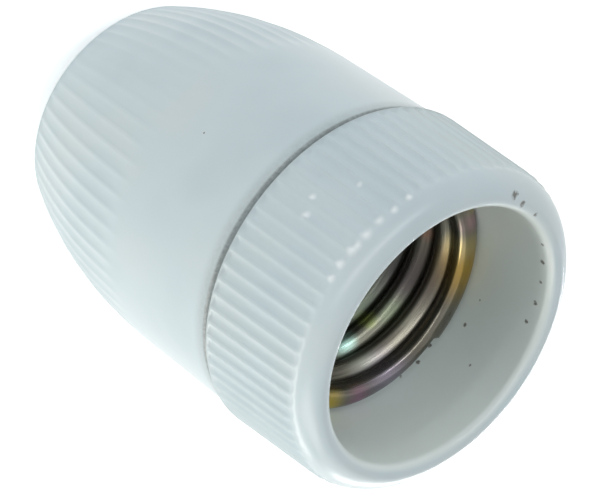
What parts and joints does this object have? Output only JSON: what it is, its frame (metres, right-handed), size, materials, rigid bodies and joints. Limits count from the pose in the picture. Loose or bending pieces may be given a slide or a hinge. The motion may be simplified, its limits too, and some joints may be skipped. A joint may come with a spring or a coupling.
{
  "type": "porcelain screw lamp holder",
  "caption": "Porcelain lamp holder with a ribbed cap, a fluted screw-on skirt, a rolled metal screw shell and a sprung centre contact on a ceramic carrier.",
  "frame": {"origin": "centre of the cap's flat cable-entry end, which the holder stands on", "axes": "+Z along the holder's axis from the cable entry to the lamp mouth; +Y towards the terminal that feeds the screw shell"},
  "size_m": [0.0424, 0.0424, 0.062],
  "materials": {
    "porcelain": "glazed porcelain, a faint blue-grey white with dark specks",
    "steatite": "unglazed pressed steatite",
    "yellow_steel": "rolled sheet steel, yellow iridescent passivation over zinc",
    "bright_steel": "zinc-plated steel",
    "brass": "plain brass, slightly tarnished",
    "fibre": "vulcanised fibre washer, red-brown"
  },
  "bodies": {
    "holder_cap": {"cap": "porcelain", "entry_bush": "bright_steel", "entry_washer": "fibre", "entry_nut": "bright_steel"},
    "lock_screw_body": {"lock_screw": "bright_steel"},
    "carrier": {"contact_carrier": "steatite", "screw_shell": "yellow_steel", "terminal_block_centre": "brass", "terminal_block_side": "brass", "centre_strip": "brass", "centre_screw": "bright_steel", "shell_screw_side": "bright_steel", "shell_screw_plain": "bright_steel", "spring_washer_side": "bright_steel", "spring_washer_plain": "bright_steel", "shell_nut": "bright_steel"},
    "clamp_centre_body": {"clamp_screw_centre": "bright_steel"},
    "clamp_side_body": {"clamp_screw_side": "bright_steel"},
    "centre_contact": {"centre_button": "brass"},
    "skirt_body": {"skirt": "porcelain"}
  },
  "joints": [
    {"name": "insert_travel", "type": "slide", "parent": "holder_cap", "child": "carrier", "axis": [0, 0, 1], "range_m": [0, 0.00991]},
    {"name": "skirt_turn", "type": "hinge", "parent": "carrier", "child": "skirt_body", "pos_m": [0, 0, 0.0455], "axis": [0, 0, 1], "range_deg": [0, 1188]},
    {"name": "centre_contact_press", "type": "slide", "parent": "carrier", "child": "centre_contact", "axis": [0, 0, -1], "range_m": [0, 0.0015], "stiffness_N_per_m": 2500, "deforming": ["centre_strip"]},
    {"name": "clamp_screw_centre_travel", "type": "slide", "parent": "carrier", "child": "clamp_centre_body", "axis": [0, 0, -1], "range_m": [0, 0.0025]},
    {"name": "clamp_screw_side_travel", "type": "slide", "parent": "carrier", "child": "clamp_side_body", "axis": [0, 0, -1], "range_m": [0, 0.0025]},
    {"name": "lock_screw_travel", "type": "slide", "parent": "holder_cap", "child": "lock_screw_body", "axis": [1, 0, 0], "range_m": [-0.0008, 0.002]}
  ],
  "couplings": [
    {"joint": "insert_travel", "follows": "skirt_turn", "m_per_rad": 0.00047746}
  ]
}
